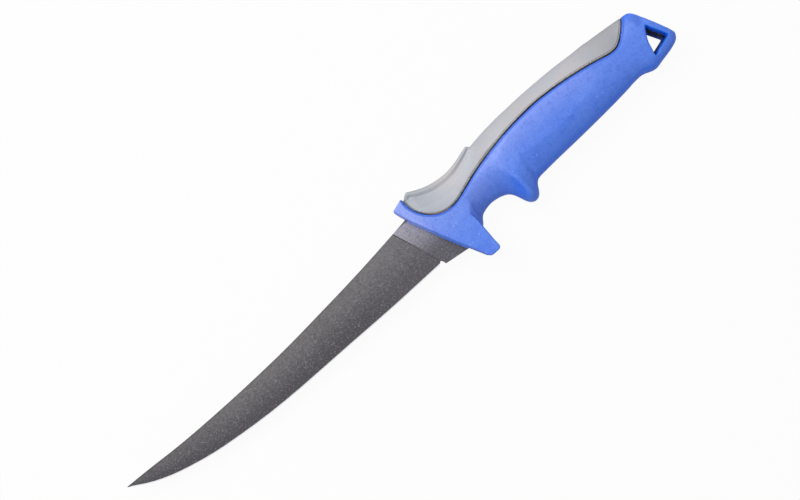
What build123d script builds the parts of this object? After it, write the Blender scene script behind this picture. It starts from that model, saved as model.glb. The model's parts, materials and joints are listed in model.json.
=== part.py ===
"""Fillet knife with a fixed blade, lying on its side.

Frame, in millimetres: +X runs along the handle to its butt, +Y points to the spine and +Z up. The knife
rests on the lower flat side of its guard and on the lower side of its palm swell, both at Z zero. The
origin is on that flat side, REST_SETBACK behind the middle of the guard's front.

The knife is the same on both sides of its middle plane. Each piece is made as its upper half, with X zero
at the middle of the guard's front and Z zero on that plane, then mirrored and placed in the frame. Plan
shares give a point as (share of a length, share of a depth).
"""

from build123d import *
import os

# Driving dimensions of the blade
BLADE_LENGTH = 178.0
BLADE_DEPTH = 26.0
BLADE_THICKNESS = 2.0
TIP_THICKNESS = 1.2
POINT_THICKNESS = 0.5
EDGE_THICKNESS = 0.45
EDGE_LAND = 0.06
EDGE_BEVEL = 0.5

# Driving dimensions of the tang
TANG_LENGTH = 120.0
TANG_TOP = 10.0
TANG_BOTTOM = 1.5
TANG_SHOULDER = 1.6
TANG_ROOT_TOP = 10.5
TANG_ROOT_BOTTOM = -5.0
TANG_ROOT_LENGTH = 12.0
TANG_HOLE_RADIUS = 2.2
TANG_END_RADIUS = 3.0

# Driving dimensions of the handle
HANDLE_LENGTH = 139.0
HANDLE_DEPTH = 32.0
GRIP_THICKNESS = 22.0
REST_SETBACK = 10.0
SKIN = 3.0
GROOVE_WIDTH = 0.45
GROOVE_DEPTH = 0.35
BUTT_LEAN = 5.4
BUTT_CHAMFER = 0.6

# Driving dimensions of the guard
GUARD_EDGE = 0.7
GUARD_CORNER_RADIUS = 1.7
COLLAR_LENGTH = 0.8
COLLAR_THICKNESS = 8.0

# Driving dimensions of the thumb rest
THUMB_REST_WIDTH = 16.0
THUMB_REST_EDGE = 0.8

# Driving dimensions of the lanyard hole
HOLE_LIP_DEPTH = 0.9
HOLE_LIP_STEP = 0.6
HOLE_LINING = 2.0
HOLE_FRAME_DEPTH = 5.7
HOLE_FRAME_WALL = 2.5
HOLE_CORNER_RADIUS = 0.8

OVERRUN = 5.0
GROOVE_POINTS = 36

HALF = GRIP_THICKNESS / 2
PLACE = Location((-REST_SETBACK, 0, HALF))

# Outlines of the blade: (share of the blade's length forward of the guard, share of the blade's depth)
spine_shares = [
    (0.998, 0.265), (0.927, 0.250), (0.843, 0.219), (0.758, 0.210), (0.674, 0.215), (0.562, 0.237),
    (0.449, 0.279), (0.337, 0.348), (0.225, 0.421), (0.112, 0.517), (0.042, 0.583), (-0.022, 0.654),
]
edge_shares = [
    (0.998, 0.254), (0.983, 0.188), (0.955, 0.079), (0.927, -0.013), (0.899, -0.087), (0.843, -0.194),
    (0.787, -0.275), (0.730, -0.327), (0.674, -0.369), (0.618, -0.396), (0.562, -0.413), (0.506, -0.421),
    (0.337, -0.413), (0.225, -0.413), (0.112, -0.396), (0.039, -0.383), (-0.022, -0.369),
]
heel_shares = [(0.0393, -0.383), (0.031, -0.338), (0.0265, -0.385), (0.0247, -0.431), (0.016, -0.440)]
ricasso_end_shares = [(-0.070, -0.515), (-0.070, 0.700)]
plunge_shares = [(0.0775, 0.530), (0.030, -0.330)]
blade_station_shares = [
    0.998, 0.985, 0.96, 0.93, 0.89, 0.84, 0.78, 0.71, 0.63, 0.54, 0.45, 0.36, 0.27, 0.18, 0.10, 0.04, -0.02,
]
tip_thickness_share = 0.9
ricasso_reach_share = 0.3
tang_hole_shares = [0.36, 0.60, 0.82]

# Outlines of the handle: (share of the handle's length, share of the handle's depth)
back_shares = [
    (-0.060, 0.650), (0.000, 0.706), (0.022, 0.716), (0.043, 0.675), (0.072, 0.625), (0.108, 0.581),
    (0.144, 0.566), (0.180, 0.578), (0.216, 0.609), (0.259, 0.650), (0.302, 0.684), (0.360, 0.713),
    (0.432, 0.731), (0.518, 0.742), (0.612, 0.738), (0.683, 0.722), (0.755, 0.703), (0.827, 0.678),
    (0.899, 0.646), (0.942, 0.624), (1.100, 0.550),
]
belly_shares = [
    (-0.060, -0.188), (0.086, -0.250), (0.122, -0.330), (0.133, -0.308), (0.144, -0.250), (0.153, -0.212),
    (0.163, -0.178), (0.180, -0.147), (0.209, -0.130), (0.234, -0.144), (0.252, -0.166), (0.270, -0.216),
    (0.284, -0.306), (0.295, -0.428), (0.305, -0.491), (0.322, -0.515), (0.339, -0.490), (0.351, -0.406),
    (0.361, -0.341), (0.378, -0.300), (0.432, -0.281), (0.576, -0.250), (0.719, -0.209), (0.791, -0.178),
    (0.827, -0.161), (0.849, -0.172), (0.874, -0.212), (0.891, -0.225), (0.914, -0.203), (0.960, -0.160),
    (0.980, -0.132), (0.994, -0.105), (1.000, -0.072), (1.005, -0.034), (1.100, 0.060),
]
thumb_rest_shares = [
    (0.004, 0.688), (0.006, 0.735), (0.019, 0.761), (0.036, 0.719), (0.054, 0.684), (0.072, 0.653),
    (0.108, 0.616), (0.144, 0.602), (0.180, 0.614), (0.216, 0.652), (0.238, 0.680), (0.256, 0.701),
]
thumb_rest_foot_shares = [(0.266, 0.662), (0.266, 0.562), (0.144, 0.469), (0.029, 0.562)]
groove_shares = [
    (-0.007, 0.800), (-0.006, 0.694), (-0.005, 0.597), (-0.001, 0.534), (0.014, 0.406), (0.032, 0.320),
    (0.052, 0.258), (0.073, 0.221), (0.097, 0.208), (0.122, 0.218), (0.154, 0.258), (0.188, 0.309),
    (0.230, 0.367), (0.280, 0.420), (0.350, 0.481), (0.421, 0.519), (0.506, 0.541), (0.590, 0.525),
    (0.668, 0.484), (0.732, 0.434), (0.776, 0.391), (0.801, 0.372), (0.825, 0.379), (0.849, 0.436),
    (0.876, 0.533), (0.903, 0.650), (0.931, 0.772),
]
guard_front_shares = [
    (-0.052, 0.672), (-0.037, 0.469), (-0.017, 0.278), (0.019, -0.056), (0.055, -0.369), (0.091, -0.675),
]
guard_toe_shares = [(0.1355, -0.675), (0.1335, -0.300), (0.131, -0.060)]
guard_back_shares = [(0.126, 0.031), (0.090, 0.188), (0.036, 0.312), (0.007, 0.531), (-0.010, 0.731)]
collar_end_shares = [0.430, -0.385]
hole_shares = [(0.941, 0.334), (0.983, 0.020), (0.906, -0.080)]
hole_bow_share = (0.910, 0.131)

# Sections of the handle, by share of its length: half the thickness as a share of the grip's, how
# square the section is towards the back and towards the belly, and how far up it is widest
thickness_shares = [
    (-0.060, 0.493), (0.122, 0.493), (0.173, 0.464), (0.230, 0.441), (0.288, 0.455), (0.324, 0.477),
    (0.432, 0.498), (0.540, 0.500), (0.647, 0.486), (0.755, 0.445), (0.827, 0.409), (0.878, 0.391),
    (1.1, 0.386),
]
back_square_shares = [
    (-0.060, 0.72), (0.144, 0.72), (0.259, 0.66), (0.432, 0.60), (0.719, 0.62), (0.863, 0.80), (0.960, 0.92), (1.1, 0.92),
]
belly_square_shares = [
    (-0.060, 0.80), (0.126, 0.80), (0.142, 0.50), (0.180, 0.38), (0.252, 0.40), (0.295, 0.52), (0.313, 0.66),
    (0.338, 0.60), (0.374, 0.55), (0.540, 0.56), (0.719, 0.60), (0.849, 0.70), (0.899, 0.85), (1.1, 0.85),
]
widest_shares = [
    (-0.060, 0.55), (0.144, 0.58), (0.230, 0.56), (0.330, 0.60), (0.540, 0.52), (0.863, 0.52), (1.1, 0.50),
]
lean_shares = [(-0.060, 0.0), (0.680, 0.0), (0.800, 0.28), (0.964, 1.0), (1.1, 1.0)]
# Stretches of the handle from guard to butt: where each starts and ends, and its number of sections
stretch_shares = [(-0.060, 0.137), (0.137, 0.380), (0.380, 0.780), (0.780, 0.964)]
STRETCH_SECTIONS = [8, 14, 8, 10]


def smooth(shares, at):
    """The height at a place on the smooth curve through the shares, which never overshoots them."""
    if at <= shares[0][0]:
        return shares[0][1]
    if at >= shares[-1][0]:
        return shares[-1][1]
    places = [share[0] for share in shares]
    heights = [share[1] for share in shares]
    steps = [b - a for a, b in zip(places, places[1:])]
    slopes = [(b - a) / step for a, b, step in zip(heights, heights[1:], steps)]
    bends = [slopes[0]]
    for before, after, left, right in zip(slopes, slopes[1:], steps, steps[1:]):
        if before * after <= 0:
            bends.append(0.0)
            continue
        near = 2 * right + left
        far = right + 2 * left
        bends.append((near + far) / (near / before + far / after))
    bends.append(slopes[-1])
    i = next(index for index, place in enumerate(places[1:]) if at <= place)
    t = (at - places[i]) / steps[i]
    start = (1 + 2 * t) * (1 - t) ** 2 * heights[i] + t * (1 - t) ** 2 * steps[i] * bends[i]
    end = t * t * (3 - 2 * t) * heights[i + 1] + t * t * (t - 1) * steps[i] * bends[i + 1]
    return start + end


def blade_point(share):
    return (-share[0] * BLADE_LENGTH, share[1] * BLADE_DEPTH)


def handle_point(share):
    return (share[0] * HANDLE_LENGTH, share[1] * HANDLE_DEPTH)


def prism(outline, thickness):
    """The upper half of a plan outline made a solid of that thickness."""
    return extrude(outline, amount=thickness / 2, dir=(0, 0, 1))


def block(low_x, low_y, high_x, high_y, thickness):
    """The upper half of a rectangular solid of that thickness."""
    return Pos(low_x, low_y) * Box(
        high_x - low_x, high_y - low_y, thickness / 2, align=(Align.MIN, Align.MIN, Align.MIN)
    )


def whole(half):
    """Both halves of a piece that is the same above and below the middle plane."""
    return half + mirror(half, about=Plane.XY)


def outline_of(*edges):
    return make_face(Wire(list(edges)))


def lines_through(points):
    return [Line(a, b) for a, b in zip(points, points[1:])]


def blade_section(share):
    """The blade's wedge at one place: a flat grind from the spine to a small bevel at the edge."""
    top = smooth([(-place, height) for place, height in spine_shares], -share) * BLADE_DEPTH
    bottom = smooth([(-place, height) for place, height in edge_shares], -share) * BLADE_DEPTH
    if share > tip_thickness_share:
        near_tip = (share - tip_thickness_share) / (1 - tip_thickness_share)
        thickness = TIP_THICKNESS + (POINT_THICKNESS - TIP_THICKNESS) * near_tip
    else:
        thickness = BLADE_THICKNESS + (TIP_THICKNESS - BLADE_THICKNESS) * max(share, 0) / tip_thickness_share
    bevel = min(EDGE_BEVEL, (top - bottom) / 3)
    behind_bevel = min(EDGE_THICKNESS, thickness * 3 / 4)
    corners = [(bottom, 0), (top, 0), (top, thickness / 2)]
    corners += [(bottom + bevel, behind_bevel / 2), (bottom, EDGE_LAND / 2)]
    plane = Plane(origin=(-share * BLADE_LENGTH, 0, 0), x_dir=(0, 1, 0), z_dir=(1, 0, 0))
    return plane * make_face(Polyline(*corners, close=True))


def notch_cutter(heel):
    """The small round notch between the edge's heel and the ricasso."""
    below = (heel[3][0], heel[3][1] - EDGE_BEVEL)
    ahead_below = (heel[0][0], heel[0][1] - EDGE_BEVEL)
    notch = outline_of(
        *lines_through([heel[1], heel[0], ahead_below, below, heel[3]]),
        ThreePointArc(heel[3], heel[2], heel[1]),
    )
    return prism(notch, BLADE_THICKNESS + OVERRUN)


def ricasso():
    """The flat blank from the plunge line to the tang's shoulders, with its heel."""
    spine = [blade_point(share) for share in spine_shares if share[0] < ricasso_reach_share]
    heel = [blade_point(share) for share in heel_shares]
    bottom_end, top_end = (blade_point(share) for share in ricasso_end_shares)
    ahead = (spine[0][0], heel[0][1])
    blank = outline_of(
        Spline(*spine, top_end),
        *lines_through([top_end, bottom_end, heel[4], heel[3]]),
        ThreePointArc(heel[3], heel[2], heel[1]),
        *lines_through([heel[1], heel[0], ahead, spine[0]]),
    )
    behind_shoulder = prism(behind_guard_front(TANG_SHOULDER), BLADE_THICKNESS + OVERRUN)
    return prism(blank, BLADE_THICKNESS) - behind_shoulder


def behind_plunge():
    """Everything behind the slanted line at which the grind ends."""
    top, bottom = (Vector(*blade_point(share)) for share in plunge_shares)
    reach = (top - bottom).normalized() * BLADE_DEPTH
    back = Vector(BLADE_LENGTH, 0)
    corners = [top + reach, bottom - reach, bottom - reach + back, top + reach + back, top + reach]
    return prism(outline_of(*lines_through(corners)), BLADE_THICKNESS + OVERRUN)


def tang():
    """The flat strip inside the handle, wider at its root, with holes that the core fills."""
    ahead = -TANG_ROOT_LENGTH
    root = block(ahead, TANG_ROOT_BOTTOM, TANG_ROOT_LENGTH, TANG_ROOT_TOP, BLADE_THICKNESS)
    root &= prism(behind_guard_front(0), BLADE_THICKNESS + OVERRUN)
    strip = block(0, TANG_BOTTOM, TANG_LENGTH, TANG_TOP, BLADE_THICKNESS)
    strip = fillet(strip.edges().filter_by(Axis.Z).group_by(Axis.X)[-1], TANG_END_RADIUS)
    for share in tang_hole_shares:
        hole = Cylinder(TANG_HOLE_RADIUS, BLADE_THICKNESS + OVERRUN)
        strip -= Pos(share * TANG_LENGTH, (TANG_TOP + TANG_BOTTOM) / 2) * hole
    return root + strip


def build_blade():
    """Ground blade, ricasso and tang, one piece of steel."""
    ground = loft([blade_section(share) for share in blade_station_shares])
    plunge = behind_plunge()
    heel = [blade_point(share) for share in heel_shares]
    return (ground - plunge) + (ricasso() & plunge) + tang() - notch_cutter(heel)


def guard_front(setback):
    """The raked line of the guard's front, moved back by setback."""
    return Spline(*[(x + setback, y) for x, y in map(handle_point, guard_front_shares)])


def behind_guard_front(setback):
    """Plan of everything behind the guard's front line, moved back by setback."""
    front = guard_front(setback)
    top, bottom = front @ 0, front @ 1
    far = HANDLE_LENGTH + OVERRUN * 2
    high = HANDLE_DEPTH + OVERRUN
    corners = [bottom, (bottom.X, -high), (far, -high), (far, high), (top.X, high), top]
    return outline_of(front, *lines_through(corners))


def handle_section(share, inset, setback=0):
    """Half of the handle's section at one place, drawn in from its skin by inset and moved back."""
    lean = smooth(lean_shares, share) * BUTT_LEAN / HANDLE_LENGTH
    bottom = Vector(*handle_point((share + lean, smooth(belly_shares, share + lean))))
    top = Vector(*handle_point((share - lean, smooth(back_shares, share - lean))))
    up = (top - bottom).normalized()
    depth = (top - bottom).length
    half = smooth(thickness_shares, share) * GRIP_THICKNESS - inset
    low, high = inset, depth - inset
    wide = low + (high - low) * smooth(widest_shares, share)
    back = smooth(back_square_shares, share)
    belly = smooth(belly_square_shares, share)
    to_back = Bezier((wide, half), (wide + back * (high - wide), half), (high, back * half), (high, 0))
    to_belly = Bezier((low, 0), (low, belly * half), (wide + belly * (low - wide), half), (wide, half))
    plane = Plane(origin=bottom + Vector(setback, 0), x_dir=up, z_dir=(up.Y, -up.X, 0))
    return plane * outline_of(to_back, Line((high, 0), (low, 0)), to_belly)


def handle_form(inset):
    """The handle's body without its guard, drawn in by inset, with a chamfered butt."""
    form = None
    for (start, end), count in zip(stretch_shares, STRETCH_SECTIONS):
        places = [start + (end - start) * i / count for i in range(count + 1)]
        stretch = loft([handle_section(place, inset) for place in places])
        form = form + stretch if form else stretch
    last = stretch_shares[-1][1]
    rim = handle_section(last, inset)
    face = handle_section(last, inset + BUTT_CHAMFER, BUTT_CHAMFER)
    return form + loft([rim, face], ruled=True)


def guard_form(inset):
    """The guard, a flat-sided block with a raked front and a rounded toe."""
    front = guard_front(0)
    toe = [handle_point(share) for share in guard_toe_shares]
    back = [handle_point(share) for share in guard_back_shares]
    plan = outline_of(
        front,
        *lines_through([front @ 1, toe[0]]),
        Spline(*toe, *back),
        *lines_through([back[-1], front @ 0]),
    )
    plan = fillet(plan.vertices().sort_by(Axis.Y)[:2], GUARD_CORNER_RADIUS)
    block_side = prism(plan, GRIP_THICKNESS - 2 * inset)
    return chamfer(block_side.edges().group_by(Axis.Z)[-1], GUARD_EDGE)


def thumb_rest():
    """The plate with a hollow back that the thumb rests on, ending in a small step."""
    crest = [handle_point(share) for share in thumb_rest_shares]
    foot = [handle_point(share) for share in thumb_rest_foot_shares]
    plan = outline_of(
        *lines_through(crest[:3]),
        Spline(*crest[2:]),
        *lines_through([crest[-1], *foot, crest[0]]),
    )
    plate = prism(plan, THUMB_REST_WIDTH)
    return chamfer(plate.edges().group_by(Axis.Z)[-1], THUMB_REST_EDGE)


def collar():
    """The low step round the blade at the guard's front."""
    top, bottom = (share * HANDLE_DEPTH for share in collar_end_shares)
    strip = prism(behind_guard_front(-COLLAR_LENGTH), COLLAR_THICKNESS)
    strip &= block(-HANDLE_DEPTH, bottom, HANDLE_DEPTH, top, COLLAR_THICKNESS)
    return strip - prism(behind_guard_front(COLLAR_LENGTH), COLLAR_THICKNESS + OVERRUN)


def groove_line():
    return Spline(*[handle_point(share) for share in groove_shares])


def beside(line, distance):
    """A line's neighbour, that far away on its right-hand side."""
    points = []
    for i in range(GROOVE_POINTS + 1):
        along = line % (i / GROOVE_POINTS)
        points.append(line @ (i / GROOVE_POINTS) + Vector(along.Y, -along.X) * distance)
    return Spline(*points)


def above(line):
    """Everything on the saddle's side of a line across the handle."""
    high = HANDLE_DEPTH + OVERRUN * 2
    start, end = line @ 0, line @ 1
    plan = outline_of(line, *lines_through([end, (end.X, high), (start.X, high), start]))
    return prism(plan, GRIP_THICKNESS + OVERRUN)


def hole_plan(grow):
    """Plan of the lanyard hole, grown by grow."""
    front_top, back_bottom, front_bottom = (handle_point(share) for share in hole_shares)
    bow = handle_point(hole_bow_share)
    plan = outline_of(
        *lines_through([front_top, back_bottom, front_bottom]),
        ThreePointArc(front_bottom, bow, front_top),
    )
    plan = fillet(plan.vertices(), HOLE_CORNER_RADIUS)
    return offset(plan, grow) if grow else plan


def hole_lip(surface):
    """The slope from the lanyard hole's wall out to its rim, at that height of the surface."""
    foot = Pos(0, 0, surface - HOLE_LIP_DEPTH) * hole_plan(-HOLE_LIP_STEP)
    rim = Pos(0, 0, surface) * hole_plan(0)
    return loft([foot, rim], ruled=True) + extrude(rim, amount=OVERRUN, dir=(0, 0, 1))


def main():
    os.makedirs("parts", exist_ok=True)
    tall = GRIP_THICKNESS + OVERRUN
    blade = build_blade()

    body = handle_form(0) & prism(behind_guard_front(GROOVE_DEPTH), tall)
    envelope = body + guard_form(0) + thumb_rest()
    under_groove = handle_form(GROOVE_DEPTH) + guard_form(GROOVE_DEPTH)
    under_groove &= prism(behind_guard_front(GROOVE_WIDTH), tall)

    saddle_side = above(groove_line())
    groove_side = above(beside(groove_line(), GROOVE_WIDTH))
    rib = under_groove & groove_side - saddle_side

    pommel_surface = smooth(thickness_shares, hole_bow_share[0]) * GRIP_THICKNESS
    hole = prism(hole_plan(-HOLE_LIP_STEP), tall)
    hole_rim = hole + hole_lip(pommel_surface)
    hole_frame = prism(hole_plan(HOLE_FRAME_WALL - HOLE_LIP_STEP), (pommel_surface - HOLE_FRAME_DEPTH) * 2)

    hole_lining = prism(hole_plan(HOLE_LINING - HOLE_LIP_STEP), tall)
    filled_core = handle_form(SKIN) & prism(behind_guard_front(SKIN), tall)
    filled_core = filled_core - hole_lining + rib + hole_frame
    pieces = {
        "blade": blade,
        "handle_core": filled_core - blade - hole,
        "grip": envelope + collar() - groove_side - filled_core - hole_rim - blade,
        "saddle": (envelope & saddle_side) - filled_core,
    }
    for name, half in pieces.items():
        piece = whole(half)
        export_step(PLACE * piece, os.path.join("parts", name + ".step"))
        print(name, len(piece.solids()), round(piece.volume), piece.is_valid)


main()
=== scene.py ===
"""Fillet knife lying on its side on a white floor, seen from straight above.

Lengths are in metres, in the knife's own frame: +X towards the butt, +Y towards the spine, +Z up.
The two soft mouldings are remeshed finely and get the lips, scoops and rims that the hand feels.
The blade and the hard core keep their own meshes and get their finish from their materials.
"""

import json
import math

import bmesh
import bpy
import numpy as np
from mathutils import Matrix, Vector
from mathutils.bvhtree import BVHTree
from mathutils.kdtree import KDTree


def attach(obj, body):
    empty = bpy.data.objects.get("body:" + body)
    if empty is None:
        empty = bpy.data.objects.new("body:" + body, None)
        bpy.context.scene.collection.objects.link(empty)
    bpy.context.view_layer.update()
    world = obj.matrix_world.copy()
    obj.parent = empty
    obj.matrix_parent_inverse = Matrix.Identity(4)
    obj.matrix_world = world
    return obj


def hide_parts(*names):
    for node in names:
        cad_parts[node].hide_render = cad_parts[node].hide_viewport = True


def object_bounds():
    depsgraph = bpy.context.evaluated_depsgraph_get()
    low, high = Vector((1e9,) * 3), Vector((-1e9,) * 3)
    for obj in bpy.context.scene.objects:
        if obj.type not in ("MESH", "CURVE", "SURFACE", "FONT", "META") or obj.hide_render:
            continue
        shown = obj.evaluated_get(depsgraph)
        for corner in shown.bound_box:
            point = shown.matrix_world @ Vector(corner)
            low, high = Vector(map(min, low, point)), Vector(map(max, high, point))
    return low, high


MM = 0.001

# The photograph's view: straight down, with the handle rising to the right. The sensor's width is
# in millimetres.
SENSOR_WIDTH = 36.0
PICTURE_SPAN = 0.358
CAMERA_HEIGHT = 0.56
CAMERA_TURN = math.radians(41)
CAMERA_PLACE = (-0.02602, 0.00681)

# Stage and light
FLOOR_REACH = 3.0
FLOOR_GLOW_SHARE = 0.95
FLOOR_COLOUR = (0.65, 0.65, 0.65, 1.0)
WORLD_STRENGTH = 0.45
KEY_PLACE = (-0.24, 0.50, 0.92)
KEY_SIZE = 0.6
KEY_POWER = 8.5

# Moulded skins: how finely they are meshed, how they are evened out, and how far the finer mesh
# reaches from the seam
SKIN_CELL = 0.4 * MM
SKIN_SMOOTHING = 6
STEP_IN = 0.5
STEP_BACK = -0.52
SEAM_REACH = 2.2 * MM

# What counts as a skin's outside: where the handle's middle line lies along Y, and how squarely a
# point has to face away from it. Then the slopes and heights over which a rounded edge turns into a
# broad side, and the slope of a plain flat.
HANDLE_MIDDLE = 7.0 * MM
OUTWARD = 0.2
SIDE_SLOPES = (0.3, 0.7)
SIDE_HEIGHTS = (4.5 * MM, 7.0 * MM)
FLAT_SLOPE = 0.98

# Lips beside the seam: (drop, full at this distance, gone at this distance). What faces the blade
# more squarely than SEAM_FRONT has none.
GRIP_MARGIN = (0.15 * MM, 1.30 * MM, 1.60 * MM)
GRIP_LIP = (0.20 * MM, 0.45 * MM, 0.75 * MM)
GRIP_LINE_PLACE = 1.45 * MM
SADDLE_LIP = (0.25 * MM, 0.45 * MM, 1.00 * MM)
SADDLE_LINE_PLACE = 1.05 * MM
LINE_DEPTH = 0.08 * MM
LINE_WIDTH = 0.12 * MM
SEAM_FRONT = -0.6

# The guard's flat sides run smoothly into the handle above the finger notch, and sink a little
# towards the toe
GUARD_FLAT_DROP = 0.06 * MM
GUARD_END = 12.0 * MM
GUARD_BLEND_END = 24.0 * MM
GUARD_BLEND_REACH = 7.0 * MM
GUARD_BLEND_HEIGHTS = (-1.0 * MM, 3.5 * MM)
GUARD_TOE = (2.0 * MM, -24.0 * MM)
GUARD_TOE_DROP = 0.35 * MM
GUARD_SPREAD = 4
GUARD_SOFTENING = 12

# The guard's back edge, which stays crisp where it drops into the finger notch. The span is the
# stretch of its way down, as a share, over which it comes in.
CREASE_TOP = (0.0074, -0.0002)
CREASE_FOOT = (0.0088, -0.0066)
CREASE_SPAN = (-0.1, 1.0)
CREASE_DROP = 1.0 * MM
CREASE_EDGE = 0.7 * MM
CREASE_REACH = 3.2 * MM
CREASE_CORNER = (0.0094, -0.0092)
CREASE_CORNER_REACH = 1.6 * MM
CREASE_CORNER_SOFTENING = 14

# Hollows of the grip's sides, by the finger notch and the butt's corner: (x, y, reach along x,
# reach along y, depth)
HOLLOWS = [
    (0.0285, -0.0045, 0.0040, 0.0060, 0.00080),
    (0.0311, -0.0066, 0.0015, 0.0048, 0.00095),
    (0.0165, -0.0070, 0.0075, 0.0065, 0.00075),
    (0.0385, -0.0080, 0.0034, 0.0054, 0.00075),
    (0.1208, 0.0138, 0.0019, 0.0036, 0.00085),
]

# The ridge that runs down to the nub, with the shares of its way down where it rises and falls
RIDGE_TOP = (0.0329, 0.0050)
RIDGE_FOOT = (0.0349, -0.0120)
RIDGE_RISE = (-0.25, 0.45)
RIDGE_FALL = (0.95, 1.3)
RIDGE_WIDTH = 1.5 * MM
RIDGE_HEIGHT = 0.9 * MM

# The slopes over which the crease, the hollows and the ridge come in
CARVING_SLOPES = (0.1, 0.45)
CARVING_SPREAD = 2

# The fold behind the nub, which is smoothed out
NUB_FOLD_PLACE = 42.6 * MM
NUB_FOLD_REACH = 3.0 * MM
NUB_FOLD_TOP = 5.0 * MM
NUB_FOLD_SOFTENING = 24

# The butt's broad soft slope beside the lanyard hole: where the butt's edge lies, behind which place
# the slope is made, how far in it starts at the two ends of that edge, how deep and how curved it is,
# and how much of the depth it may reach past the edge
BUTT_TOP = (0.1195, 0.0198)
BUTT_BOTTOM = (0.1296, -0.0010)
BUTT_START = 100.0 * MM
BUTT_SLOPE_REACH = (4.6 * MM, 3.0 * MM)
BUTT_SLOPE_DROP = 0.7 * MM
BUTT_SLOPE_CURVE = 1.5
BUTT_SLOPE_LIMIT = 1.1
BUTT_SPREAD = 4

# The rim of the grip's opening at the butt, behind this place, is smoothed
BUTT_OPENING = 118.0 * MM
BUTT_OPENING_SOFTENING = 4

# The lanyard hole's sharp corners: where each is, and how far it is drawn out. Then how far from its
# middle its walls reach, and how squarely they face the middle.
HOLE_CORNERS = [((0.1198, 0.0099), (0.0003, 0.0011)), ((0.1159, -0.0013), (-0.0008, -0.0010))]
CORNER_REACH = 1.6 * MM
HOLE_REACH = 9.0 * MM
HOLE_WALL_SLOPES = (0.2, 0.5)

# The thumb rest's rim: height above the middle plane in mm by distance in from its crest, beside the
# plain side without a rim, then how strong and how wide the rim is along the knife
RIM_DISTANCES = [0.0, 0.3, 0.8, 1.3, 1.9, 2.6, 3.3, 3.9, 5.0, 6.5, 9.5]
RIM_HEIGHTS = [7.2, 8.1, 8.55, 8.35, 7.75, 8.15, 8.55, 8.60, 8.95, 9.25, 9.85]
PLAIN_HEIGHTS = [6.9, 7.6, 8.05, 8.20, 8.35, 8.50, 8.62, 8.74, 8.98, 9.25, 9.85]
RIM_PLACES = [-10.0, -7.5, -5.5, 2.0, 8.0, 13.0, 19.0, 23.0, 25.5, 26.4]
RIM_STRENGTHS = [1.2, 1.5, 1.6, 1.3, 1.0, 1.2, 1.6, 1.7, 1.5, 0.0]
RIM_SPREADS = [0.6, 1.3, 1.6, 1.7, 1.6, 1.45, 1.25, 1.1, 0.8, 0.6]
CREST_STEP = 0.25 * MM
THUMB_REST_END = 26.4 * MM

# The rim comes in over the wall at its crest, and goes out behind the thumb rest and deeper in
RIM_WALL = 0.6 * MM
FLANK_FADE = 12.0 * MM
RIM_FADE_START = 5.5 * MM
RIM_FADE_END_SHARE = 0.95
RIM_SOFTENING = 3

# The saddle's hidden inside: how high it reaches, in mm, by distance in from the crest, and the
# slope under which a point is taken for a part of its back
SKIN_INSIDES = [0.0, 0.0, 3.5, 6.0, 7.6, 8.6]
SKIN_INSIDE_DISTANCES = [0.0, 0.6, 2.0, 4.0, 6.5, 9.5]
BACK_SLOPE = 0.1

# The stretch behind the thumb rest's step, which is smoothed: how softly it starts, where it fades
# out along the knife, and where it comes in from the crest
STEP_START = 1.0 * MM
STEP_FADE = (3.0 * MM, 9.0 * MM)
STEP_CREST = (0.4 * MM, 1.4 * MM)
STEP_SOFTENING = 20

# The foot of the thumb rest's plate, (distance in from the crest, width), and the saddle's front
# end, which are smoothed too
PLATE_FOOT = (5.8 * MM, 2.0 * MM)
PLATE_FOOT_SOFTENING = 30
FRONT_END = (-8.0 * MM, -9.5 * MM)
FRONT_SOFTENING = 5

# The grip's side rises softly from the seam, (height, how quickly it is reached), on these slopes
# and where this much room is left below the guard's height
SHOULDER = (0.6 * MM, 2.8 * MM)
SHOULDER_START = 1.0 * MM
SHOULDER_REACH = 16.0 * MM
SHOULDER_SLOPES = (0.3, 0.75)
SHOULDER_ROOM = (0.1 * MM, 0.9 * MM)
SHOULDER_SPREAD = 2

# Where the blade's grind ends, and where its outline is read, as shares of the way from its point to
# the knife's origin under the guard
PLUNGE_TOP = (-0.0238, 0.0138)
PLUNGE_BOTTOM = (-0.0153, -0.0086)
BLADE_STOPS = [0.004, 0.02, 0.05, 0.09, 0.14, 0.2, 0.27, 0.35, 0.43, 0.52, 0.61, 0.7, 0.8, 0.9, 0.97]


def linear(red, green, blue):
    """A colour given as 0 to 255 screen values, as the light values that a shader takes."""
    shares = [value / 255 for value in (red, green, blue)]
    return tuple(s / 12.92 if s <= 0.04045 else ((s + 0.055) / 1.055) ** 2.4 for s in shares) + (1.0,)


def ease(low, high, values):
    """0 at low and before it, 1 at high and past it, and smooth in between."""
    share = np.clip((values - low) / (high - low), 0, 1)
    return share * share * (3 - 2 * share)


def hump(values):
    """1 at 0, falling away smoothly on both sides."""
    return np.exp(-values * values)


def link(obj):
    bpy.context.scene.collection.objects.link(obj)
    return obj


def read_points(mesh):
    points = np.empty(len(mesh.vertices) * 3, np.float32)
    mesh.vertices.foreach_get("co", points)
    return points.reshape(-1, 3).astype(float)


def read_normals(mesh):
    normals = np.empty(len(mesh.vertices) * 3, np.float32)
    mesh.vertices.foreach_get("normal", normals)
    return normals.reshape(-1, 3).astype(float)


def write_points(mesh, points):
    mesh.vertices.foreach_set("co", points.astype(np.float32).ravel())
    mesh.update()


def read_edges(mesh):
    edges = np.empty(len(mesh.edges) * 2, np.int32)
    mesh.edges.foreach_get("vertices", edges)
    return edges.reshape(-1, 2)


def relaxed(points, edges, step):
    """Every point moved towards the middle of its neighbours by step."""
    count = np.bincount(edges.ravel(), minlength=len(points))
    total = np.zeros_like(points)
    for axis in range(3):
        total[:, axis] += np.bincount(edges[:, 0], points[edges[:, 1], axis], len(points))
        total[:, axis] += np.bincount(edges[:, 1], points[edges[:, 0], axis], len(points))
    return points + step * (total / np.maximum(count, 1)[:, None] - points)


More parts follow.
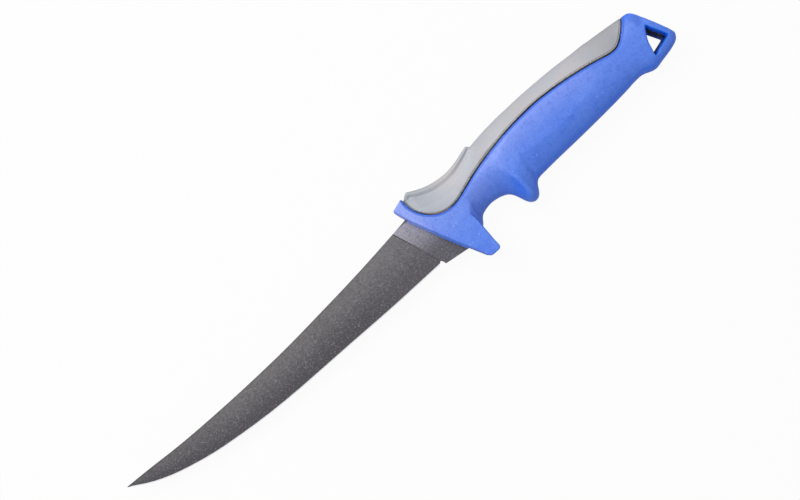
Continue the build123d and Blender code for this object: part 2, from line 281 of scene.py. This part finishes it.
def even_out(mesh, passes):
    """Evens out a mesh, with a step back after each step in, so that it keeps its size."""
    points, edges = read_points(mesh), read_edges(mesh)
    for _ in range(passes):
        points = relaxed(points, edges, STEP_IN)
        points = relaxed(points, edges, STEP_BACK)
    write_points(mesh, points)


def soften(mesh, weights, passes):
    """Smooths a mesh where the weights say, from 0 for not at all to 1 for fully."""
    points, edges = read_points(mesh), read_edges(mesh)
    for _ in range(passes):
        points = relaxed(points, edges, STEP_IN * weights[:, None])
    write_points(mesh, points)


def spread(mesh, values, passes):
    """Values at a mesh's points, evened out with the values at their neighbours."""
    edges = read_edges(mesh)
    count = np.maximum(np.bincount(edges.ravel(), minlength=len(values)), 1)
    for _ in range(passes):
        total = np.bincount(edges[:, 0], values[edges[:, 1]], len(values))
        total += np.bincount(edges[:, 1], values[edges[:, 0]], len(values))
        values = (values + total / count) / 2
    return values


def tree_of(mesh):
    """A mesh's faces, kept so that the nearest one to a point is quick to find."""
    corners = [vertex.co for vertex in mesh.vertices]
    return BVHTree.FromPolygons(corners, [face.vertices for face in mesh.polygons])


def distances_to(tree, points, reach):
    """How far each point lies from a mesh, or reach where that is further."""
    found = np.full(len(points), reach)
    for index, point in enumerate(points):
        near = tree.find_nearest(point, reach)
        if near[3] is not None:
            found[index] = near[3]
    return found


def plan_distances(points, targets, reach):
    """How far each point lies from the nearest target, seen from above."""
    near = KDTree(len(targets))
    for index, (x, y) in enumerate(targets):
        near.insert((x, y, 0), index)
    near.balance()
    found = np.full(len(points), reach)
    for index, (x, y, _) in enumerate(points):
        found[index] = min(reach, near.find((x, y, 0))[2])
    return found


def dense_copy(node, name, cell):
    """A closed, evenly meshed copy of a frame node, with its edges softly rounded."""
    source = link(bpy.data.objects.new(name + "_source", node.data.copy()))
    remesh = source.modifiers.new("even", "REMESH")
    remesh.mode = "VOXEL"
    remesh.voxel_size = cell
    graph = bpy.context.evaluated_depsgraph_get()
    mesh = bpy.data.meshes.new_from_object(source.evaluated_get(graph))
    bpy.data.objects.remove(source)
    mesh.name = name
    mesh.materials.clear()
    even_out(mesh, SKIN_SMOOTHING)
    mesh.polygons.foreach_set("use_smooth", np.ones(len(mesh.polygons), bool))
    return link(bpy.data.objects.new(name, mesh))


def refine(mesh, chosen):
    """Halves the cells whose corners are all chosen."""
    work = bmesh.new()
    work.from_mesh(mesh)
    work.verts.ensure_lookup_table()
    edges = [edge for edge in work.edges if all(chosen[corner.index] for corner in edge.verts)]
    bmesh.ops.subdivide_edges(work, edges=edges, cuts=1, use_grid_fill=True, smooth=0)
    work.to_mesh(mesh)
    work.free()
    mesh.update()


def lift(points, heights, middle):
    """Moves points away from the middle plane, on both sides of it, by heights."""
    points[:, 2] += np.sign(points[:, 2] - middle) * heights


def faces_out(points, normals, middle):
    """Which points lie on a skin's outside, and not on its hidden inside."""
    away = points - np.array([0, HANDLE_MIDDLE, middle])
    away[:, 0] = 0
    away /= np.linalg.norm(away, axis=1)[:, None]
    return np.sum(away * normals, axis=1) > OUTWARD


def side_share(points, normals, middle):
    """1 on a skin's broad outer sides, and less where they round over or lie deep inside."""
    share = ease(*SIDE_SLOPES, np.abs(normals[:, 2]))
    share *= ease(*SIDE_HEIGHTS, np.abs(points[:, 2] - middle))
    return np.where(faces_out(points, normals, middle), share, 0)


def shape_guard_blend(mesh, middle):
    """Brings the handle's sides up to the guard's flat sides above the finger notch."""
    points, normals = read_points(mesh), read_normals(mesh)
    top = points[:, 2].max() - middle
    height = np.abs(points[:, 2] - middle)
    flat = (height > top - GUARD_FLAT_DROP) & (points[:, 0] < GUARD_END)
    flat &= np.abs(normals[:, 2]) > FLAT_SLOPE
    near = plan_distances(points, points[flat][:, :2], GUARD_BLEND_REACH)
    share = 1 - ease(0, GUARD_BLEND_REACH, near)
    share *= ease(*GUARD_BLEND_HEIGHTS, points[:, 1])
    toe = ease(*GUARD_TOE, points[:, 1] - points[:, 0] / 2)
    heights = (top - GUARD_FLAT_DROP / 2 - height) * share - GUARD_TOE_DROP * toe * toe
    heights *= side_share(points, normals, middle) * (points[:, 0] < GUARD_BLEND_END)
    lift(points, spread(mesh, heights, GUARD_SPREAD), middle)
    write_points(mesh, points)
    weights = ease(0, 1, share * (1 - share) * 4) * (near > 0) * (heights != 0)
    soften(mesh, weights, GUARD_SOFTENING)


def shape_sides(mesh, middle):
    """The grip's hollows, the ridge that runs down to the nub and the guard's crisp back edge."""
    points, normals = read_points(mesh), read_normals(mesh)
    x, y = points[:, 0], points[:, 1]
    heights = np.zeros(len(points))
    for place_x, place_y, reach_x, reach_y, depth in HOLLOWS:
        heights -= depth * hump((x - place_x) / reach_x) * hump((y - place_y) / reach_y)
    down = (y - RIDGE_TOP[1]) / (RIDGE_FOOT[1] - RIDGE_TOP[1])
    line = RIDGE_TOP[0] + down * (RIDGE_FOOT[0] - RIDGE_TOP[0])
    along = ease(*RIDGE_RISE, down) * (1 - ease(*RIDGE_FALL, down))
    heights += RIDGE_HEIGHT * hump((x - line) / RIDGE_WIDTH) * along
    down = (y - CREASE_TOP[1]) / (CREASE_FOOT[1] - CREASE_TOP[1])
    behind = x - CREASE_TOP[0] - down * (CREASE_FOOT[0] - CREASE_TOP[0])
    drop = CREASE_DROP * ease(0, CREASE_EDGE, behind) * np.exp(-np.maximum(behind, 0) / CREASE_REACH)
    heights -= drop * ease(*CREASE_SPAN, down) * (behind > 0)
    heights *= ease(*CARVING_SLOPES, np.abs(normals[:, 2])) * faces_out(points, normals, middle)
    lift(points, spread(mesh, heights, CARVING_SPREAD), middle)
    write_points(mesh, points)
    corner = np.linalg.norm(points[:, :2] - CREASE_CORNER, axis=1)
    soften(mesh, hump(corner / CREASE_CORNER_REACH), CREASE_CORNER_SOFTENING)
    fold = hump((x - NUB_FOLD_PLACE) / NUB_FOLD_REACH) * (1 - ease(0, NUB_FOLD_TOP, y))
    soften(mesh, fold * faces_out(points, normals, middle), NUB_FOLD_SOFTENING)


def shape_butt(mesh, middle):
    """The broad soft slope that runs down to the butt's edge."""
    points, normals = read_points(mesh), read_normals(mesh)
    top, bottom = np.array(BUTT_TOP), np.array(BUTT_BOTTOM)
    along = (bottom - top) / np.linalg.norm(bottom - top)
    offset = points[:, :2] - top
    inside = offset[:, 1] * along[0] - offset[:, 0] * along[1]
    share = np.clip(offset @ along / np.linalg.norm(bottom - top), 0, 1)
    reach = BUTT_SLOPE_REACH[0] + share * (BUTT_SLOPE_REACH[1] - BUTT_SLOPE_REACH[0])
    slope = np.clip(1 + inside / reach, 0, BUTT_SLOPE_LIMIT)
    heights = -BUTT_SLOPE_DROP * slope ** BUTT_SLOPE_CURVE * side_share(points, normals, middle)
    heights *= points[:, 0] > BUTT_START
    lift(points, spread(mesh, heights, BUTT_SPREAD), middle)
    write_points(mesh, points)
    opening = ~faces_out(points, normals, middle) & (points[:, 0] > BUTT_OPENING)
    soften(mesh, opening * 1.0, BUTT_OPENING_SOFTENING)


def keep_as_attribute(mesh, name, values):
    """Keeps values at a mesh's points, where its material can read them."""
    attribute = mesh.attributes.get(name) or mesh.attributes.new(name, "FLOAT", "POINT")
    attribute.data.foreach_set("value", values.astype(np.float32))


def shape_hole(mesh, centre):
    """Draws out the lanyard hole's corners, and marks its walls."""
    points, normals = read_points(mesh), read_normals(mesh)
    plan = points[:, :2].copy()
    for corner, pull in HOLE_CORNERS:
        near = np.linalg.norm(plan - corner, axis=1)
        points[:, :2] += hump(near / CORNER_REACH)[:, None] * pull
    write_points(mesh, points)
    inward = centre - plan
    away = np.linalg.norm(inward, axis=1)
    facing = np.sum(inward * normals[:, :2], axis=1) / np.maximum(away, MM)
    wall = np.where(away < HOLE_REACH, ease(*HOLE_WALL_SLOPES, facing), 0)
    keep_as_attribute(mesh, "hole", wall)


def crest_line(points, end, middle):
    """The back's outline seen from above, as a row of plan points from the front to end."""
    inner = points[np.abs(points[:, 2] - middle) < RIM_HEIGHTS[0] * MM / 2]
    crest = []
    for x in np.arange(points[:, 0].min(), end, CREST_STEP):
        here = np.abs(inner[:, 0] - x) < CREST_STEP
        if here.any():
            crest.append((x, inner[here, 1].max()))
    return crest


def shape_thumb_rest(mesh, middle):
    """The thumb rest's rolled rim, with a cove between it and the saddle's side."""
    points = read_points(mesh)
    x = points[:, 0]
    past_end = x - THUMB_REST_END
    reach = RIM_DISTANCES[-1] * MM
    distance = plan_distances(points, crest_line(points, THUMB_REST_END + FLANK_FADE, middle), reach)
    width = np.interp(x / MM, RIM_PLACES, RIM_SPREADS)
    rim = np.interp(distance / MM / width, RIM_DISTANCES, RIM_HEIGHTS)
    rim -= np.interp(distance / MM / width, RIM_DISTANCES, PLAIN_HEIGHTS)
    wanted = np.interp(distance / MM, RIM_DISTANCES, PLAIN_HEIGHTS)
    wanted = (wanted + rim * np.interp(x / MM, RIM_PLACES, RIM_STRENGTHS)) * MM
    height = np.abs(points[:, 2] - middle)
    outside = height > np.interp(distance / MM, SKIN_INSIDE_DISTANCES, SKIN_INSIDES) * MM
    outside &= distance < reach
    fade = 1 - ease(THUMB_REST_END, THUMB_REST_END + FLANK_FADE, x)
    fade *= 1 - ease(RIM_FADE_START, reach * RIM_FADE_END_SHARE, distance)
    fade *= ease(0.0, RIM_WALL, distance)
    lift(points, np.where(outside, (wanted - height) * fade, 0), middle)
    write_points(mesh, points)
    normals = read_normals(mesh)
    shown = outside & (np.abs(normals[:, 2]) > BACK_SLOPE)
    step = ease(THUMB_REST_END - STEP_START, THUMB_REST_END + STEP_START, x)
    step *= (1 - ease(*STEP_FADE, past_end)) * ease(*STEP_CREST, distance)
    foot = hump((distance - PLATE_FOOT[0]) / PLATE_FOOT[1]) * (1 - ease(0, FLANK_FADE, past_end))
    soften(mesh, np.where(shown, fade, 0), RIM_SOFTENING)
    soften(mesh, np.where(shown, step, 0), STEP_SOFTENING)
    soften(mesh, np.where(shown, foot, 0), PLATE_FOOT_SOFTENING)
    soften(mesh, np.where(outside, ease(*FRONT_END, x), 0), FRONT_SOFTENING)


def shape_shoulder(mesh, other, middle):
    """The soft rise of the grip's side beside the seam, which catches the light."""
    points, normals = read_points(mesh), read_normals(mesh)
    top = points[:, 2].max() - middle
    room = top - np.abs(points[:, 2] - middle)
    outer = faces_out(points, normals, middle)
    near = np.full(len(points), SHOULDER_REACH)
    near[outer] = distances_to(other, points[outer], SHOULDER_REACH)
    keep_as_attribute(mesh, "shoulder", near / MM)
    rise, reach = SHOULDER
    heights = rise * (1 - np.exp(-np.maximum(near - SHOULDER_START, 0) / reach))
    heights *= ease(*SHOULDER_SLOPES, np.abs(normals[:, 2])) * ease(*SHOULDER_ROOM, room) * outer
    lift(points, spread(mesh, heights, SHOULDER_SPREAD), middle)
    write_points(mesh, points)


def shape_seam(mesh, other, drops, line_place, middle):
    """Rounded lips beside the seam, and the fine mould line that runs beside them."""
    near = distances_to(other, read_points(mesh), SEAM_REACH)
    refine(mesh, near < SEAM_REACH)
    points, normals = read_points(mesh), read_normals(mesh)
    near = distances_to(other, points, SEAM_REACH)
    outer = faces_out(points, normals, middle) & (normals[:, 0] > SEAM_FRONT)
    depth = LINE_DEPTH * hump((near - line_place) / LINE_WIDTH)
    for drop, start, end in drops:
        depth += drop * (1 - ease(start, end, near))
    points -= normals * np.where(outer, depth, 0)[:, None]
    write_points(mesh, points)
    keep_as_attribute(mesh, "seam", near / MM)


def keep_in_box(mesh, low, high):
    """Holds a mesh inside the size of the knife."""
    write_points(mesh, np.clip(read_points(mesh), low, high))


def new_material(name):
    material = bpy.data.materials.new(name)
    material.use_nodes = True
    tree = material.node_tree
    tree.nodes.clear()
    return material, tree


def add(tree, kind, inputs=None, **settings):
    """A shader node with its settings, and with each input either set or linked."""
    made = tree.nodes.new("ShaderNode" + kind)
    for name, value in settings.items():
        setattr(made, name, value)
    for name, value in (inputs or {}).items():
        if isinstance(value, bpy.types.NodeSocket):
            tree.links.new(value, made.inputs[name])
        else:
            made.inputs[name].default_value = value
    return made


def calc(tree, operation, *values):
    made = add(tree, "Math", dict(enumerate(values)), operation=operation)
    return made.outputs[0]


def times(tree, first, second):
    return calc(tree, "MULTIPLY", first, second)


def ramp(tree, value, low, high, to_low=0.0, to_high=1.0):
    """value carried smoothly from low to high into to_low to to_high."""
    inputs = {"Value": value, "From Min": low, "From Max": high, "To Min": to_low, "To Max": to_high}
    return add(tree, "MapRange", inputs, interpolation_type="SMOOTHSTEP").outputs["Result"]


def ramp_flat(tree, value, low, high):
    """value carried evenly from low to high into 0 to 1."""
    inputs = {"Value": value, "From Min": low, "From Max": high}
    return add(tree, "MapRange", inputs, interpolation_type="LINEAR").outputs["Result"]


def stripe(tree, value, middle, outer, inner):
    """1 within inner of a middle value, and 0 beyond outer."""
    return ramp(tree, calc(tree, "ABSOLUTE", calc(tree, "SUBTRACT", value, middle)), outer, inner)


def blend(tree, share, first, second):
    """The first colour where share is 0, and the second where it is 1."""
    made = add(tree, "Mix", {0: share, 6: first, 7: second}, data_type="RGBA")
    return made.outputs[2]


def coordinates(tree):
    """Where a point lies on the knife, and its X and Y alone."""
    place = add(tree, "TexCoord").outputs["Object"]
    split = add(tree, "SeparateXYZ", {"Vector": place})
    return place, split.outputs["X"], split.outputs["Y"]


def attribute(tree, name):
    """Values that keep_as_attribute has kept. Distances are in mm."""
    return add(tree, "Attribute", attribute_name=name).outputs["Fac"]


def noise(tree, place, size, detail=2.0, roughness=0.5):
    """Soft noise from 0 to 1 whose grains are about size across."""
    inputs = {"Vector": place, "Scale": 1 / size, "Detail": detail, "Roughness": roughness}
    return add(tree, "TexNoise", inputs).outputs["Fac"]


def specks(tree, place, spacing, radius, share):
    """Small dots, 1 inside and 0 outside, in a share of the cells of a loose grid."""
    cells = add(tree, "TexVoronoi", {"Vector": place, "Scale": 1 / spacing, "Randomness": 1.0})
    dot = ramp(tree, cells.outputs["Distance"], radius / spacing, radius / spacing * 0.5)
    pick = add(tree, "SeparateColor", {"Color": cells.outputs["Color"]}).outputs[0]
    return times(tree, dot, calc(tree, "LESS_THAN", pick, share))


def finish_material(tree, colour, roughness, height, depth, **constants):
    """The shader itself, with a fine relief of this height and depth."""
    surface = add(tree, "BsdfPrincipled", {"Base Color": colour, "Roughness": roughness})
    for name, value in constants.items():
        surface.inputs[name].default_value = value
    bump = add(tree, "Bump", {"Height": height, "Distance": depth, "Strength": 1.0})
    tree.links.new(bump.outputs[0], surface.inputs["Normal"])
    out = add(tree, "OutputMaterial")
    tree.links.new(surface.outputs[0], out.inputs["Surface"])


def grip_material():
    """Blue soft moulding: orange-peel grain, a smooth deeper-coloured margin by the seam, light specks that
    are partly dust and partly painted glints, painted highlights by the seam and on the guard, and painted
    shade on steep sides.
    """
    material, tree = new_material("grip_rubber_blue")
    place, x, y = coordinates(tree)
    seam = attribute(tree, "seam")
    margin = ramp(tree, seam, 1.45, 1.3)
    line = stripe(tree, seam, 1.5, 0.22, 0.05)
    broad = noise(tree, place, 14 * MM)
    patches = noise(tree, place, 2.6 * MM, 2.0, 0.6)
    peel = noise(tree, place, 0.85 * MM, 3.0, 0.6)
    fine = noise(tree, place, 0.3 * MM, 2.0, 0.6)
    body = blend(tree, ramp(tree, broad, 0.35, 0.65), linear(84, 129, 232), linear(77, 123, 229))

    # Painted highlight: paler where the side rises by the seam, on the guard's flat and at the guard's tip,
    # where the lamp's light gleams
    by_seam = ramp(tree, attribute(tree, "shoulder"), 16.0, 1.0)
    seam_highlight = times(tree, by_seam, ramp(tree, x, 106 * MM, 72 * MM, 0.1, 0.6))
    seam_highlight = times(tree, seam_highlight, ramp(tree, x, 4 * MM, 16 * MM, 0.3, 1.0))
    body = blend(tree, seam_highlight, body, linear(130, 153, 238))
    # Painted highlight on the guard's flat, palest towards its spine side and front
    guard_highlight = times(tree, ramp(tree, y, -12 * MM, 14 * MM), ramp(tree, x, 16 * MM, -8 * MM))
    body = blend(tree, times(tree, guard_highlight, 0.45), body, linear(138, 158, 234))
    # Painted highlight at the guard's tip
    tip_highlight = times(tree, ramp(tree, x, -7 * MM, -14 * MM), 0.6)
    body = blend(tree, tip_highlight, body, linear(152, 170, 243))

    # Grain, and light specks that are partly dust and partly painted glints
    body = blend(tree, ramp(tree, patches, 0.5, 0.3, 0.0, 0.25), body, linear(46, 88, 204))
    body = blend(tree, ramp(tree, patches, 0.52, 0.72, 0.0, 0.2), body, linear(108, 144, 240))
    body = blend(tree, ramp(tree, peel, 0.5, 0.28, 0.0, 0.36), body, linear(42, 80, 194))
    body = blend(tree, ramp(tree, fine, 0.6, 0.8, 0.0, 0.16), body, linear(140, 166, 244))
    dust_and_glints = specks(tree, place, 1.6 * MM, 0.26 * MM, 0.3)
    dust_and_glints = times(tree, dust_and_glints, ramp(tree, y, 8 * MM, -2 * MM, 0.06, 0.8))
    body = blend(tree, dust_and_glints, body, linear(186, 206, 252))

    # Painted shade: a deeper blue where the surface turns steeply down, most strongly behind the nub;
    # deeper too in the seam's margin and in the lanyard hole
    facing = add(tree, "SeparateXYZ", {"Vector": add(tree, "NewGeometry").outputs["Normal"]})
    steep = ramp(tree, calc(tree, "ABSOLUTE", facing.outputs["Z"]), 0.92, 0.45)
    steep = times(tree, steep, ramp(tree, x, 28 * MM, 42 * MM, 0.25, 0.85))
    body = blend(tree, steep, body, linear(12, 110, 252))
    colour = blend(tree, margin, body, linear(58, 110, 225))
    colour = blend(tree, times(tree, line, 0.55), colour, linear(44, 84, 198))
    colour = blend(tree, attribute(tree, "hole"), colour, linear(20, 112, 236))
    rough = ramp(tree, peel, 0.3, 0.7, 0.42, 0.54)
    rise = times(tree, calc(tree, "ADD", peel, patches), calc(tree, "SUBTRACT", 1.0, margin))
    finish_material(tree, colour, rough, rise, 0.07 * MM, IOR=1.55)
    return material


def saddle_material():
    """Pale grey soft moulding, nearly smooth, with a painted cream highlight on the rounded edge by the
    seam, which starts behind the guard.
    """
    material, tree = new_material("saddle_rubber_grey")
    place, x, _ = coordinates(tree)
    seam = attribute(tree, "seam")
    behind = ramp(tree, x, -2 * MM, 4 * MM, 0.15, 1.0)
    margin = ramp(tree, seam, 0.95, 0.8)
    line = stripe(tree, seam, 1.02, 0.2, 0.06)
    broad = noise(tree, place, 16 * MM)
    peel = noise(tree, place, 0.9 * MM, 3.0, 0.6)
    colour = blend(tree, ramp(tree, broad, 0.35, 0.65), linear(181, 183, 191), linear(187, 184, 187))
    colour = blend(tree, ramp(tree, x, 80 * MM, 106 * MM, 0.0, 0.75), colour, linear(154, 156, 161))
    colour = blend(tree, ramp(tree, x, 12 * MM, -8 * MM, 0.0, 0.7), colour, linear(161, 169, 178))
    colour = blend(tree, ramp(tree, peel, 0.5, 0.3, 0.0, 0.12), colour, linear(118, 122, 132))
    # Painted highlight: a cream reflection on the rounded edge by the seam
    lip_highlight = times(tree, margin, times(tree, behind, 0.6))
    colour = blend(tree, lip_highlight, colour, linear(212, 209, 200))
    line = times(tree, line, times(tree, behind, 0.75))
    colour = blend(tree, line, colour, linear(84, 84, 88))
    rough = ramp(tree, peel, 0.3, 0.7, 0.45, 0.55)
    finish_material(tree, colour, rough, peel, 0.03 * MM, IOR=1.48)
    return material


def core_material():
    """Near-black moulded plastic with a brown cast, paler where it shows below the saddle's front."""
    material, tree = new_material("core_plastic_black")
    place, x, _ = coordinates(tree)
    peel = noise(tree, place, 0.5 * MM)
    colour = blend(tree, ramp(tree, peel, 0.3, 0.7), linear(36, 29, 27), linear(48, 40, 36))
    colour = blend(tree, ramp(tree, x, 104 * MM, 94 * MM, 0.0, 0.7), colour, linear(84, 72, 66))
    colour = blend(tree, ramp(tree, x, 82 * MM, 66 * MM), colour, linear(34, 32, 33))
    brown = times(tree, ramp(tree, x, 4 * MM, 1 * MM), ramp(tree, x, -8 * MM, -5 * MM))
    colour = blend(tree, brown, colour, linear(116, 88, 76))
    colour = blend(tree, ramp(tree, x, -6.5 * MM, -10 * MM, 0.0, 0.85), colour, linear(92, 108, 146))
    rough = ramp(tree, peel, 0.3, 0.7, 0.35, 0.48)
    finish_material(tree, colour, rough, peel, 0.01 * MM, IOR=1.5)
    return material


def outline_at(points, edges, x):
    """The lowest and the highest Y where a mesh's edges cross x."""
    first, second = points[edges[:, 0]], points[edges[:, 1]]
    crossing = (first[:, 0] - x) * (second[:, 0] - x) < 0
    first, second = first[crossing], second[crossing]
    y = first[:, 1] + (x - first[:, 0]) / (second[:, 0] - first[:, 0]) * (second[:, 1] - first[:, 1])
    return y.min(), y.max()


def blade_face(tree, node, x, y):
    """How far up the blade's face a point lies, 0 at the edge and 1 at the spine, and how far below it."""
    points, edges = read_points(node.data), read_edges(node.data)
    start, end = points[:, 0].min(), 0.0
    low, high = points[:, 1].min(), points[:, 1].max()
    outline = [outline_at(points, edges, start + stop * (end - start)) for stop in BLADE_STOPS]
    along = ramp_flat(tree, x, start, end)
    lines = []
    for places in zip(*outline):
        curve = add(tree, "FloatCurve", {"Value": along})
        line = curve.mapping.curves[0].points
        while len(line) < len(BLADE_STOPS):
            line.new(0.5, 0.5)
        for point, stop, place in zip(line, BLADE_STOPS, places):
            point.location = (stop, (place - low) / (high - low))
        curve.mapping.update()
        lines.append(curve.outputs["Value"])
    edge, spine = lines
    level = ramp_flat(tree, y, low, high)
    span = calc(tree, "MAXIMUM", calc(tree, "SUBTRACT", spine, edge), 0.01)
    share = calc(tree, "DIVIDE", calc(tree, "SUBTRACT", level, edge), span)
    below = times(tree, calc(tree, "SUBTRACT", spine, level), high - low)
    return share, below


def blade_material(node):
    """Dark speckled coating with a painted highlight towards the spine, paler on the flat by the guard as a
    painted reflection, with a bright bevel at the edge that is partly a painted reflection.
    """
    material, tree = new_material("blade_coating")
    place, x, y = coordinates(tree)
    up_face, below_spine = blade_face(tree, node, x, y)

    # The slanted line where the grind ends, with the flat behind it
    lean = (PLUNGE_BOTTOM[0] - PLUNGE_TOP[0]) / (PLUNGE_TOP[1] - PLUNGE_BOTTOM[1])
    behind = calc(tree, "MULTIPLY_ADD", y, lean, -PLUNGE_TOP[0] - lean * PLUNGE_TOP[1])
    behind = calc(tree, "ADD", behind, x)
    flat = ramp(tree, behind, -0.1 * MM, 0.1 * MM)
    line = ramp(tree, calc(tree, "ABSOLUTE", behind), 0.34 * MM, 0.12 * MM)
    line = times(tree, line, ramp(tree, up_face, 0.25, 0.7))

    # Coating, with pits, glints and dust
    grain = noise(tree, place, 0.8 * MM, 3.0, 0.7)
    coarse = noise(tree, place, 2.4 * MM, 2.0, 0.6)
    cloud = noise(tree, place, 10 * MM)
    # Painted highlight: the coating pales from the edge up towards the spine
    coat_and_sheen = blend(tree, ramp(tree, up_face, 0.1, 0.95), linear(68, 65, 71), linear(106, 104, 105))
    coat_and_sheen = blend(tree, ramp(tree, x, -110 * MM, -180 * MM, 0.0, 0.4), coat_and_sheen, linear(66, 63, 68))
    coat_and_sheen = blend(tree, ramp(tree, x, -70 * MM, -20 * MM, 0.0, 0.12), coat_and_sheen, linear(150, 148, 156))
    # Painted reflection: the flat by the guard is paler, more so towards the spine
    flat_reflection = blend(tree, ramp(tree, up_face, 0.2, 0.85), linear(90, 87, 93), linear(158, 155, 165))
    colour = blend(tree, flat, coat_and_sheen, flat_reflection)
    colour = blend(tree, ramp(tree, cloud, 0.3, 0.7, 0.0, 0.12), colour, linear(62, 60, 64))
    colour = blend(tree, ramp(tree, coarse, 0.5, 0.3, 0.0, 0.3), colour, linear(60, 57, 62))
    strength = ramp(tree, up_face, 0.98, 0.6, 0.3, 0.5)
    pits = times(tree, ramp(tree, grain, 0.52, 0.3), strength)
    glints = times(tree, ramp(tree, grain, 0.52, 0.72), strength)
    colour = blend(tree, pits, colour, linear(52, 49, 54))
    colour = blend(tree, glints, colour, linear(156, 152, 162))
    dots = specks(tree, place, 2.0 * MM, 0.33 * MM, 0.3)
    dots = times(tree, dots, ramp(tree, flat, 0, 1, 0.1, 0.85))
    colour = blend(tree, dots, colour, linear(222, 219, 232))

    # Dark lines at the grind's end and along the spine, and the bright ground bevel, whose near-white
    # colour is partly bare steel and partly a painted reflection
    colour = blend(tree, line, colour, linear(48, 45, 49))
    rim = ramp(tree, below_spine, 0.75 * MM, 0.3 * MM)
    rim = times(tree, rim, ramp(tree, flat, 0, 1, 0.4, 0.7))
    colour = blend(tree, rim, colour, linear(62, 60, 64))
    facing = add(tree, "SeparateXYZ", {"Vector": add(tree, "NewGeometry").outputs["True Normal"]})
    steep = calc(tree, "ABSOLUTE", facing.outputs["Z"])
    down = calc(tree, "LESS_THAN", facing.outputs["Y"], 0.0)
    bevel = times(tree, ramp(tree, steep, 0.985, 0.965), ramp(tree, steep, 0.7, 0.8))
    bevel = times(tree, bevel, times(tree, down, ramp(tree, up_face, 0.6, 0.4)))
    colour = blend(tree, bevel, colour, linear(250, 250, 252))
    rough = ramp(tree, grain, 0.3, 0.7, 0.55, 0.42)
    finish_material(tree, colour, rough, grain, 0.02 * MM, Metallic=0.2, IOR=1.5)
    return material


def add_camera(middle):
    data = bpy.data.cameras.new("camera")
    data.sensor_width = SENSOR_WIDTH
    data.lens = SENSOR_WIDTH * CAMERA_HEIGHT / PICTURE_SPAN
    camera = link(bpy.data.objects.new("camera", data))
    camera.location = (*CAMERA_PLACE, middle + CAMERA_HEIGHT)
    camera.rotation_euler = (0, 0, -CAMERA_TURN)
    bpy.context.scene.camera = camera


def add_floor():
    """A plain white floor, which shows as white to the eye, with a faint shadow."""
    mesh = bpy.data.meshes.new("floor")
    corners = [(x * FLOOR_REACH, y * FLOOR_REACH, 0) for x, y in ((-1, -1), (1, -1), (1, 1), (-1, 1))]
    mesh.from_pydata(corners, [], [(0, 1, 2, 3)])
    floor = link(bpy.data.objects.new("floor", mesh))
    material, tree = new_material("floor_white")
    ray = add(tree, "LightPath").outputs["Is Camera Ray"]
    diffuse = add(tree, "BsdfDiffuse", {"Color": FLOOR_COLOUR})
    glow = add(tree, "Emission", {"Strength": 1.0})
    mix = add(tree, "MixShader", {"Fac": times(tree, ray, FLOOR_GLOW_SHARE)})
    tree.links.new(diffuse.outputs[0], mix.inputs[1])
    tree.links.new(glow.outputs[0], mix.inputs[2])
    out = add(tree, "OutputMaterial")
    tree.links.new(mix.outputs[0], out.inputs["Surface"])
    mesh.materials.append(material)


def add_light():
    """An even white surround, with one soft lamp above the spine's side."""
    world = bpy.data.worlds.new("studio")
    world.use_nodes = True
    back = world.node_tree.nodes["Background"]
    back.inputs["Color"].default_value = (1, 1, 1, 1)
    back.inputs["Strength"].default_value = WORLD_STRENGTH
    bpy.context.scene.world = world
    data = bpy.data.lights.new("key", "AREA")
    data.shape = "DISK"
    data.size = KEY_SIZE
    data.energy = KEY_POWER
    lamp = link(bpy.data.objects.new("key", data))
    lamp.location = KEY_PLACE
    lamp.rotation_euler = (-Vector(KEY_PLACE)).to_track_quat("-Z", "Y").to_euler()


def add_skin(name, node_name, material):
    """The finely meshed piece that stands for a moulded node."""
    piece = dense_copy(frame["nodes"][node_name], name, SKIN_CELL)
    piece.data.materials.append(material)
    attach(piece, "root")
    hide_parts(node_name)
    return piece


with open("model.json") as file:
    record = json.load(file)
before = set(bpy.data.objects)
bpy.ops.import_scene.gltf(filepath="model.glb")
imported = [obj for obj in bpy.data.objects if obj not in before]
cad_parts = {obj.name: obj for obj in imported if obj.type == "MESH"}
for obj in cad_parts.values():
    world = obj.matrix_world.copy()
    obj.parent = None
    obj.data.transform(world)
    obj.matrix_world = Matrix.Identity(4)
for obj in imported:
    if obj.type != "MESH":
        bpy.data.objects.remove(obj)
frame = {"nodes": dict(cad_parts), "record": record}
cad_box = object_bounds()
middle_height = (cad_box[0].z + cad_box[1].z) / 2

seam_sides = {name: tree_of(frame["nodes"][name].data) for name in ("grip", "saddle")}
grip = add_skin("grip_skin", "grip", grip_material())
shape_guard_blend(grip.data, middle_height)
shape_sides(grip.data, middle_height)
shape_butt(grip.data, middle_height)
shape_shoulder(grip.data, seam_sides["saddle"], middle_height)
hole_place = next(m["pos_m"] for m in frame["record"]["mounts"] if m["name"] == "lanyard_hole")
shape_hole(grip.data, np.array(hole_place[:2]))
shape_seam(grip.data, seam_sides["saddle"], [GRIP_MARGIN, GRIP_LIP], GRIP_LINE_PLACE, middle_height)
saddle = add_skin("saddle_skin", "saddle", saddle_material())
shape_thumb_rest(saddle.data, middle_height)
shape_seam(saddle.data, seam_sides["grip"], [SADDLE_LIP], SADDLE_LINE_PLACE, middle_height)
for skin in (grip, saddle):
    keep_in_box(skin.data, *cad_box)

frame["nodes"]["handle_core"].material_slots[0].material = core_material()
frame["nodes"]["blade"].material_slots[0].material = blade_material(frame["nodes"]["blade"])

add_camera(middle_height)
add_floor()
add_light()

bpy.context.scene.view_settings.view_transform = "Standard"
